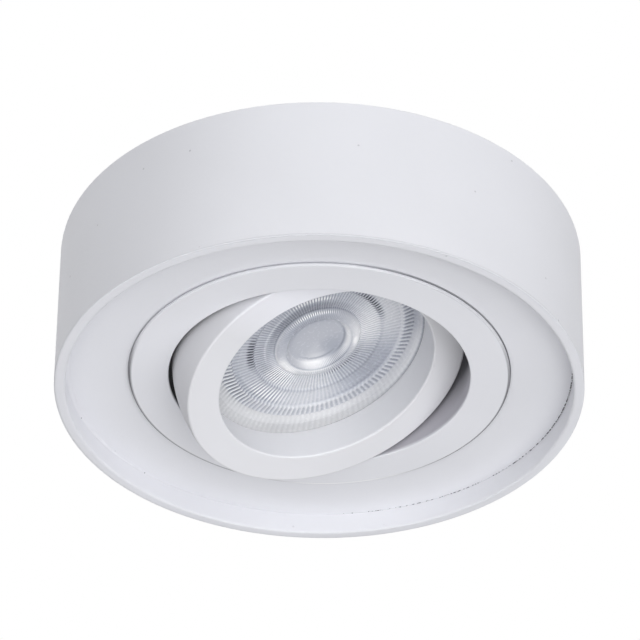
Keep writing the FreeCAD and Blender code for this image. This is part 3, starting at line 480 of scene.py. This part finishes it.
def plated_steel(name, colour, rough):
    """Plating with the faint crystal patches and fine drawn lines of rolled steel."""
    steel = Shader(name, Metallic=1.0)
    _, patch = steel.cells(scale=420.0)
    lines = steel.noise(scale=1.0, detail=3.0, place=steel.stretched((9000.0, 260.0, 9000.0)))
    steel.colour(steel.mix(patch, darker(colour, 0.9), colour))
    steel.roughness(steel.spread(lines, *LINE_RANGE, to_low=rough, to_high=rough + 0.18))
    steel.bump(lines, strength=0.1, distance=0.05)
    return steel.material


def turned_metal(name, colour, rough):
    """Brass or steel with the fine marks of a cutting tool."""
    metal = Shader(name, Metallic=1.0)
    marks = metal.noise(scale=5200.0, detail=2.0)
    stain = metal.noise(scale=260.0, detail=3.0)
    metal.colour(metal.mix(metal.spread(stain, *GRAIN_RANGE), darker(colour, 0.7), colour))
    metal.roughness(metal.spread(marks, *GRAIN_RANGE, to_low=rough, to_high=rough + 0.15))
    metal.bump(marks, strength=0.08, distance=0.04)
    return metal.material


def cast_metal(name, colour):
    """Cast metal with a sandy grain and faint stains."""
    metal = Shader(name, Metallic=0.9)
    grain = metal.noise(scale=3200.0, detail=4.0)
    stain = metal.noise(scale=120.0, detail=2.0)
    metal.colour(metal.mix(metal.spread(stain, *CLOUD_RANGE), darker(colour, 0.82), colour))
    metal.roughness(metal.spread(grain, *GRAIN_RANGE, to_low=0.42, to_high=0.62))
    metal.bump(grain, strength=0.25, distance=0.08)
    return metal.material


def moulded(name, colour, rough, grain, cloud_scale=90.0, cloud_shade=0.9, **values):
    """Plastic or rubber with a fine moulded grain and faint clouds."""
    plastic = Shader(name, **values)
    fine = plastic.noise(scale=3000.0, detail=3.0)
    cloud = plastic.noise(scale=cloud_scale, detail=2.0)
    plastic.colour(plastic.mix(plastic.spread(cloud, *CLOUD_RANGE), darker(colour, cloud_shade), colour))
    plastic.roughness(plastic.spread(fine, *GRAIN_RANGE, to_low=rough, to_high=rough + 0.15))
    plastic.bump(fine, strength=grain, distance=0.08)
    return plastic.material


# The lens plastic's colours along its painted tone of light and reflection, where it is clear and where it is
# hazy.
CLEAR_TONES = [(0.0, (0.012, 0.015, 0.025)), (0.45, (0.42, 0.44, 0.5)), (1.0, (1.0, 1.0, 1.0))]
HAZY_TONES = [(0.0, (0.02, 0.02, 0.022)), (0.5, (0.5, 0.502, 0.512)), (1.0, (1.0, 1.0, 1.0))]
LENS_CLOUD = (0.5, 0.53, 0.58)


def lens_material():
    """Moulded plastic coloured by its painted tone of reflected and refracted light, grey-blue where that
    tone is dark; its outer band is hazy and has less blue.
    """
    optic = Shader("lens_plastic", Coat_Weight=0.3, Coat_Roughness=0.1, IOR=1.49)
    tone = optic.attribute("tone")
    plastic = optic.mix(optic.attribute("haze"), optic.ramp(tone, CLEAR_TONES), optic.ramp(tone, HAZY_TONES))
    cloud = optic.noise(scale=260.0, detail=2.0)
    optic.colour(optic.mix(optic.spread(cloud, 0.3, 0.8, to_low=0.0, to_high=0.06), plastic, LENS_CLOUD))
    fine = optic.noise(scale=1500.0, detail=2.0)
    optic.roughness(optic.spread(fine, *GRAIN_RANGE, to_low=0.2, to_high=0.3))
    return optic.material


# The lens's front, as depth behind its rim along the radius, both in mm, from the centre outwards.
LENS_DEPTHS = [
    (0.0, 2.0), (6.1, 2.0), (6.35, 1.9), (6.6, 1.6), (6.9, 1.1), (7.15, 0.72), (7.5, 0.5), (8.5, 0.52),
    (9.0, 0.7), (9.4, 1.05), (9.7, 1.5), (9.9, 1.6), (14.3, 1.85), (14.4, 1.5), (19.2, 1.8), (19.3, 1.45),
    (21.4, 1.75), (21.9, 1.7), (22.4, 1.4), (22.9, 1.08), (23.3, 0.92), (24.7, 0.08), (24.9, 0.0),
    (25.0, 0.06),
]
# Behind the front: down the rim, and along the cone to the light source, whose end is flat.
LENS_BACK = [(25.0, 3.0), (23.8, 3.0), (6.5, 8.15), (4.6, 8.15), (4.6, 6.0)]
# The rings inside the rim lie a little to one side, in mm; the shift fades out between two radii.
LENS_SHIFT = 1.2
SHIFTED_TO = 21.8
CENTRED_FROM = 24.6
# Points of the lens's mesh: seven to a rib, in rings up to a step apart, and a small gap between zones, in
# mm.
RIB_COUNT = 120
AROUND = RIB_COUNT * 7
FIRST_RING = 0.3
RING_STEP = 0.25
ZONE_GAP = 0.02

# Zones of the lens from the centre outwards: outer radius and height of the ribs in mm, its painted
# brightness of reflected and refracted light, how strongly light and dark are painted on its ribs, and how
# hazy it is at the lower left.
Zone = namedtuple("Zone", "outer rib tone contrast haze")
LENS_ZONES = [
    Zone(6.3, 0.0, 0.695, 0.0, 0.0),
    Zone(7.4, 0.0, 0.73, 0.0, 0.1),
    Zone(9.75, 0.0, 0.725, 0.012, 0.0),
    Zone(14.35, 0.07, 0.70, 0.065, 0.0),
    Zone(19.25, 0.06, 0.68, 0.05, 0.0),
    Zone(21.9, 0.1, 0.68, 0.08, 0.25),
    Zone(23.3, 0.02, 0.715, 0.012, 0.9),
    Zone(24.75, 0.02, 0.69, 0.016, 1.0),
    Zone(25.0, 0.0, 0.6, 0.0, 1.0),
]
# The middle and the spread of that haze, in degrees.
HAZE_ANGLE = 135.0
HAZE_SPREAD = 80.0
# Painted reflections, highlights and shade in the lens, as light and dark patches: angle and spread in
# degrees, radius and reach in mm, and the change of tone and of contrast.
Patch = namedtuple("Patch", "angle spread radius reach tone contrast")
LENS_PATCHES = [
    # The whole lens, lighter below and at the right, darker between them and above.
    Patch(120, 32, 13.0, 12.0, 0.05, 0.0),
    Patch(74, 30, 14.5, 8.0, -0.08, 0.0),
    Patch(262, 70, 10.0, 4.5, -0.065, 0.0),
    Patch(12, 30, 15.0, 6.5, 0.065, 0.0),
    # The well: its floor's outline, the bright crescent below, and the thin lines beside it.
    Patch(36, 40, 6.2, 0.2, -0.16, 0.0),
    Patch(112, 40, 5.4, 0.17, -0.15, 0.0),
    Patch(278, 46, 5.7, 0.17, -0.09, 0.0),
    Patch(62, 42, 4.0, 2.6, -0.05, 0.0),
    Patch(114, 26, 4.6, 0.7, 0.05, 0.0),
    Patch(124, 30, 6.4, 0.75, 0.125, 0.0),
    Patch(34, 62, 6.9, 0.35, 0.14, 0.0),
    Patch(110, 80, 7.4, 0.18, -0.13, 0.0),
    Patch(84, 26, 7.0, 0.5, -0.08, 0.1),
    # The collar: bright at the left and at the right, with white ticks above and thin edges.
    Patch(30, 34, 8.7, 1.2, 0.08, 0.0),
    Patch(173, 21, 8.8, 0.9, 0.19, 0.05),
    Patch(136, 50, 7.8, 0.25, 0.1, 0.0),
    Patch(95, 44, 8.8, 0.9, -0.03, 0.08),
    Patch(285, 56, 8.0, 0.9, -0.06, 0.03),
    Patch(287, 34, 9.2, 0.24, 0.06, 0.3),
    Patch(34, 7, 8.3, 0.5, 0.13, 0.0),
    Patch(215, 30, 9.5, 0.2, 0.12, 0.0),
    Patch(275, 90, 9.8, 0.16, -0.16, 0.0),
    # The inner ribs: dark above, dashes at the lower right, bright rays at the lower left.
    Patch(270, 70, 10.6, 0.9, -0.12, 0.0),
    Patch(82, 34, 10.9, 0.45, -0.06, 0.16),
    Patch(162, 15, 11.7, 1.8, 0.11, 0.36),
    Patch(172, 24, 10.5, 0.8, 0.06, 0.0),
    Patch(196, 30, 12.8, 1.7, -0.07, 0.04),
    Patch(30, 26, 11.0, 2.4, 0.045, 0.02),
    Patch(290, 20, 12.4, 0.4, 0.18, 0.28),
    Patch(228, 38, 11.8, 0.25, 0.1, 0.0),
    # The middle ribs: two groups of dark teeth, strong rays at the lower left, and the zone's edges.
    Patch(209, 15, 15.1, 0.7, -0.36, 0.4),
    Patch(354, 18, 14.8, 0.7, -0.32, 0.36),
    Patch(160, 17, 17.0, 2.0, 0.03, 0.2),
    Patch(120, 34, 16.8, 2.0, 0.025, -0.02),
    Patch(84, 26, 18.6, 0.6, -0.06, 0.0),
    Patch(170, 26, 18.6, 0.6, -0.06, 0.0),
    Patch(100, 95, 14.6, 0.3, -0.06, 0.0),
    Patch(50, 90, 19.35, 0.45, 0.08, -0.06),
    Patch(6, 26, 17.0, 2.2, 0.03, -0.03),
    Patch(68, 26, 17.0, 2.4, -0.01, -0.04),
    # The outer ribs, the shoulder and the rim, with a painted shadow line at the rim's edge.
    Patch(22, 22, 20.6, 1.4, -0.1, 0.07),
    Patch(58, 20, 20.6, 1.4, 0.01, 0.05),
    Patch(184, 17, 20.7, 1.5, -0.05, 0.18),
    Patch(18, 15, 22.8, 1.3, -0.09, 0.0),
    Patch(14, 46, 23.7, 1.3, 0.02, -0.016),
    Patch(118, 36, 23.9, 0.8, -0.055, 0.0),
    Patch(46, 36, 24.1, 1.0, 0.08, 0.0),
    Patch(162, 20, 23.4, 1.4, 0.045, 0.0),
    Patch(30, 46, 24.6, 0.32, -0.2, 0.0),
]
# A patch is left out where it is fainter than this. Tones have a least value, and are raised to a power and
# multiplied to get the brightness. The back has one brightness.
FAINTEST_PATCH = 0.01
DARKEST_TONE = 0.02
TONE_POWER = 2.2
LENS_WHITE = 1.25
BACK_TONE = 0.5


def falloff(distance, reach):
    """One at no distance, nearly level at first, and close to nothing beyond the reach."""
    return math.exp(-(abs(distance) / reach) ** 3)


def turned(angle, centre):
    """The turn from one angle to another, the short way round, in degrees."""
    return (angle - centre + 180.0) % 360.0 - 180.0


def along(profile, radius):
    """The depth at a radius, straight between the profile's points."""
    for (inner, inner_depth), (outer, outer_depth) in zip(profile, profile[1:]):
        if radius <= outer:
            return inner_depth + (outer_depth - inner_depth) * (radius - inner) / (outer - inner)
    return profile[-1][1]


def lens_rings():
    """Radius and zone of each ring of points on the lens's front, two rings where zones meet."""
    rings = []
    inner = FIRST_RING
    for zone in LENS_ZONES:
        count = max(1, math.ceil((zone.outer - inner) / RING_STEP))
        rings += [(inner + (zone.outer - inner) * step / count, zone) for step in range(count + 1)]
        inner = zone.outer + ZONE_GAP
    return rings


def patches_at(radius):
    """The patches that reach a radius, with their strength there."""
    strengths = [(patch, falloff(radius - patch.radius, patch.reach)) for patch in LENS_PATCHES]
    return [(patch, strength) for patch, strength in strengths if strength > FAINTEST_PATCH]


def lens_tone(zone, patches, angle):
    """How bright the lens is painted at a point, with its reflections and highlights, from its zone, the
    patches there and the ribs.
    """
    tone = zone.tone
    contrast = zone.contrast
    for patch, strength in patches:
        share = strength * falloff(turned(angle, patch.angle), patch.spread)
        tone += patch.tone * share
        contrast += patch.contrast * share
    tone += contrast * math.cos(math.radians(RIB_COUNT * angle))
    return LENS_WHITE * max(tone, DARKEST_TONE) ** TONE_POWER


def ring_faces(rows):
    """Faces between rings of points that follow each other, with a flat face at each end."""
    faces = [tuple(reversed(range(AROUND)))]
    for row in range(rows - 1):
        low = row * AROUND
        high = low + AROUND
        for step in range(AROUND):
            after = (step + 1) % AROUND
            faces.append((low + step, low + after, high + after, high + step))
    faces.append(tuple((rows - 1) * AROUND + step for step in range(AROUND)))
    return faces


def make_lens():
    """The ribbed lens, in front of the lamp and inside the tilting ring."""
    angles = [360.0 * step / AROUND for step in range(AROUND)]
    points, tones, haze = [], [], []
    for radius, zone in lens_rings():
        depth = along(LENS_DEPTHS, radius)
        shift = LENS_SHIFT * min(1.0, max(0.0, (CENTRED_FROM - radius) / (CENTRED_FROM - SHIFTED_TO)))
        patches = patches_at(radius)
        for angle in angles:
            turn = math.radians(angle)
            height = SEAT_HEIGHT + depth - zone.rib * math.cos(RIB_COUNT * turn)
            points.append((radius * math.cos(turn) + shift, radius * math.sin(turn), height))
            tones.append(lens_tone(zone, patches, angle))
            haze.append(zone.haze * falloff(turned(angle, HAZE_ANGLE), HAZE_SPREAD))
    for radius, depth in LENS_BACK:
        for angle in angles:
            turn = math.radians(angle)
            points.append((radius * math.cos(turn), radius * math.sin(turn), SEAT_HEIGHT + depth))
            tones.append(BACK_TONE)
            haze.append(0.0)
    faces = ring_faces(len(points) // AROUND)
    mesh = bpy.data.meshes.new("ribbed_lens")
    mesh.from_pydata([Vector(point) * MM for point in points], [], faces)
    for name, values in (("tone", tones), ("haze", haze)):
        mesh.attributes.new(name, "FLOAT", "POINT").data.foreach_set("value", values)
    mesh.materials.append(lens_material())
    mesh.polygons.foreach_set("use_smooth", [True] * len(faces))
    mesh.transform(Matrix.Translation(PIVOT) @ Matrix.Rotation(-TILT, 4, "Y"))
    mesh.update()
    lens = bpy.data.objects.new("ribbed_lens", mesh)
    scene.collection.objects.link(lens)
    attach(lens, "lamp")
    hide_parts("lamp_lens")


# Paint in the corner between plate and lip: how far it fills the corner where it has cracked and on the other
# side, the angle of the crack, and how far round the filled part goes.
FILLET_LEAST = 0.02 * MM
FILLET_MOST = 1.1 * MM
FILLET_CRACKED_AT = math.radians(74)
FILLET_WIDENING = 0.35
# How far the fillet reaches into the corner, and stands off the lip.
FILLET_SUNK = 0.05 * MM
FILLET_PROUD = 0.012 * MM
# Steps along the fillet's curve, and round the ring.
FILLET_STEPS = 10
FILLET_TURN = 240


def fillet_section(fill):
    """Points round the fillet's section: radius, height, and the slope of the surface in degrees."""
    section = [(LIP_RADIUS + FILLET_SUNK, PLATE_FACE + FILLET_SUNK, 45.0)]
    lip = LIP_RADIUS - FILLET_PROUD
    for part in range(FILLET_STEPS + 1):
        slope = 90.0 * part / FILLET_STEPS
        bend = math.radians(slope)
        radius = lip - fill * (1.0 - math.cos(bend))
        height = PLATE_FACE - fill * (1.0 - math.sin(bend))
        section.append((radius, height, slope))
    return section


def make_paint_fillet(coat):
    """Paint that has run into the corner between the plate and the lip."""
    points, normals = [], []
    for step in range(FILLET_TURN):
        turn = math.tau * step / FILLET_TURN
        outward = Vector((math.cos(turn), math.sin(turn), 0.0))
        share = min(1.0, max(0.0, FILLET_WIDENING - math.cos(turn - FILLET_CRACKED_AT)))
        for radius, height, slope in fillet_section(FILLET_LEAST + (FILLET_MOST - FILLET_LEAST) * share):
            points.append(outward * radius + Vector((0.0, 0.0, height)))
            slope = math.radians(slope)
            normals.append(-outward * math.cos(slope) - Vector((0.0, 0.0, math.sin(slope))))
    row = FILLET_STEPS + 2
    faces = []
    for step in range(FILLET_TURN):
        here = step * row
        after = (step + 1) % FILLET_TURN * row
        for part in range(row):
            beside = (part + 1) % row
            faces.append((here + part, here + beside, after + beside, after + part))
    mesh = bpy.data.meshes.new("paint_fillet")
    mesh.from_pydata(points, [], faces)
    mesh.materials.append(coat)
    # The curve's own directions, so that it runs out into the plate and the lip without an edge.
    mesh.polygons.foreach_set("use_smooth", [True] * len(faces))
    mesh.normals_split_custom_set_from_vertices(normals)
    mesh.update()
    fillet = bpy.data.objects.new("paint_fillet", mesh)
    scene.collection.objects.link(fillet)
    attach(fillet, "housing")


def dress(material, *names):
    """Give CAD nodes a finish."""
    for name in names:
        mesh = nodes[name].data
        mesh.materials.clear()
        mesh.materials.append(material)


def dress_painted_nodes():
    """White paint on the pieces that the photograph shows."""
    marks = (painted_shade_rim, painted_light_lip)
    rim = {"edges": soft_lip, "dull": rim_edge}
    dress(powder_coat("tube_coat", WHITE, *marks, grain=0.32, pits=0.75, **rim), "housing_tube")
    marks = (cracked_seam, painted_flange_shadow)
    dress(powder_coat("plate_coat", WHITE, *marks, grain=0.3), "front_plate")
    marks = (painted_highlight_edge, painted_shade_near_edge, painted_shade_edge, grey_shaded_wall)
    dress(powder_coat("trim_coat", TRIM_WHITE, *marks, grain=0.16, dull=shaded_dull_wall), "trim_ring")
    marks = (painted_light_top, painted_light_bore)
    dress(powder_coat("tilt_coat", TILT_WHITE, *marks, grain=0.16), "tilt_ring")


def dress_metal_nodes():
    """Metals: each has its colour and its least roughness."""
    zinc_sheet = plated_steel("zinc_sheet", (0.52, 0.535, 0.56), rough=0.46)
    dress(zinc_sheet, "mounting_bar", "pivot_washers", "earth_washer")
    zinc_screw = turned_metal("zinc_screw", (0.66, 0.67, 0.70), rough=0.25)
    dress(zinc_screw, "bar_screws", "terminal_screws", "terminal_fixing_screw", "clip_pins", "pivot_screws")
    spring_wire = turned_metal("spring_wire", (0.42, 0.43, 0.45), rough=0.2)
    dress(spring_wire, "clip_spring_left", "clip_spring_right", "retaining_clip")
    spring_strip = plated_steel("spring_strip", (0.5, 0.51, 0.53), rough=0.22)
    dress(spring_strip, "clip_arm_left", "clip_arm_right")
    dress(turned_metal("brass", (0.74, 0.56, 0.26), rough=0.24), "terminal_clamps", "earth_screw")
    dress(cast_metal("cast_aluminium", (0.72, 0.73, 0.75)), "lamp_body", "screw_lugs")


def dress_moulded_nodes():
    """Rubber and plastics: each has its colour, its least roughness and the strength of its grain."""
    dress(moulded("rubber", (0.028, 0.028, 0.03), rough=0.6, grain=0.3), "cable_grommet", "lead_gland")
    dress(moulded("terminal_plastic", (0.78, 0.78, 0.74), rough=0.4, grain=0.15), "terminal_block")
    dress(moulded("cap_plastic", (0.74, 0.74, 0.75), rough=0.4, grain=0.2), "lamp_rear_cap")
    dress(moulded("circuit_board", (0.06, 0.22, 0.12), rough=0.35, grain=0.1), "led_board", "driver_board")
    dress(moulded("phosphor", (0.85, 0.62, 0.12), rough=0.4, grain=0.05), "led_emitter")
    dress(moulded("lens_stand_in", (0.7, 0.72, 0.75), rough=0.2, grain=0.05), "lamp_lens")


def make_world():
    """Dim even surroundings, and pure white where the camera looks past the light."""
    world = bpy.data.worlds.new("studio")
    scene.world = world
    world.use_nodes = True
    tree = world.node_tree
    tree.nodes.clear()
    lit = tree.nodes.new("ShaderNodeBackground")
    lit.inputs["Color"].default_value = (*LIGHT_COLOUR, 1.0)
    lit.inputs["Strength"].default_value = AMBIENT
    seen = tree.nodes.new("ShaderNodeBackground")
    seen.inputs["Color"].default_value = (1.0, 1.0, 1.0, 1.0)
    rays = tree.nodes.new("ShaderNodeLightPath")
    either = tree.nodes.new("ShaderNodeMixShader")
    out = tree.nodes.new("ShaderNodeOutputWorld")
    tree.links.new(rays.outputs["Is Camera Ray"], either.inputs["Fac"])
    tree.links.new(lit.outputs["Background"], either.inputs[1])
    tree.links.new(seen.outputs["Background"], either.inputs[2])
    tree.links.new(either.outputs["Shader"], out.inputs["Surface"])


def make_light(name, direction, power):
    """A large soft panel that faces the object."""
    data = bpy.data.lights.new(name, "AREA")
    data.shape = "SQUARE"
    data.size = PANEL_SIZE
    data.energy = power
    data.color = LIGHT_COLOUR
    light = bpy.data.objects.new(name, data)
    light.location = direction * PANEL_DISTANCE
    light.rotation_euler = (-light.location).to_track_quat("-Z", "Y").to_euler()
    light.visible_camera = False
    scene.collection.objects.link(light)


def make_lights(back, side):
    """Soft light from all round, placed by the directions back to the camera and to its right."""
    up = Vector((0.0, 0.0, 1.0))
    level = Vector((back.x, back.y, 0.0)).normalized()
    for name, (turn, rise, power) in PANELS.items():
        turn = math.radians(turn)
        rise = math.radians(rise)
        outward = level * math.cos(turn) + side * math.sin(turn)
        make_light(name, outward * math.cos(rise) + up * math.sin(rise), power)


def make_floor():
    """A round pale floor, well below the ceiling that the light hangs from."""
    turns = [math.tau * corner / FLOOR_CORNERS for corner in range(FLOOR_CORNERS)]
    corners = [(FLOOR_RADIUS * math.cos(turn), FLOOR_RADIUS * math.sin(turn), -FLOOR_DROP) for turn in turns]
    mesh = bpy.data.meshes.new("floor")
    mesh.from_pydata(corners, [], [tuple(range(FLOOR_CORNERS))])
    clouds = {"cloud_scale": 1.5, "cloud_shade": 0.98}
    glow = {"Emission_Color": (1.0, 1.0, 1.0, 1.0), "Emission_Strength": FLOOR_GLOW}
    mesh.materials.append(moulded("floor_paint", FLOOR_COLOUR, rough=0.6, grain=0.0, **clouds, **glow))
    floor = bpy.data.objects.new("floor", mesh)
    scene.collection.objects.link(floor)


back, side = make_camera()
make_world()
make_lights(back, side)
make_floor()
dress_painted_nodes()
dress_metal_nodes()
dress_moulded_nodes()
make_lens()
make_paint_fillet(powder_coat("fillet_coat", FILLET_SHADED_WHITE, chipped_corner, grain=0.3))
scene.view_settings.view_transform = "Standard"
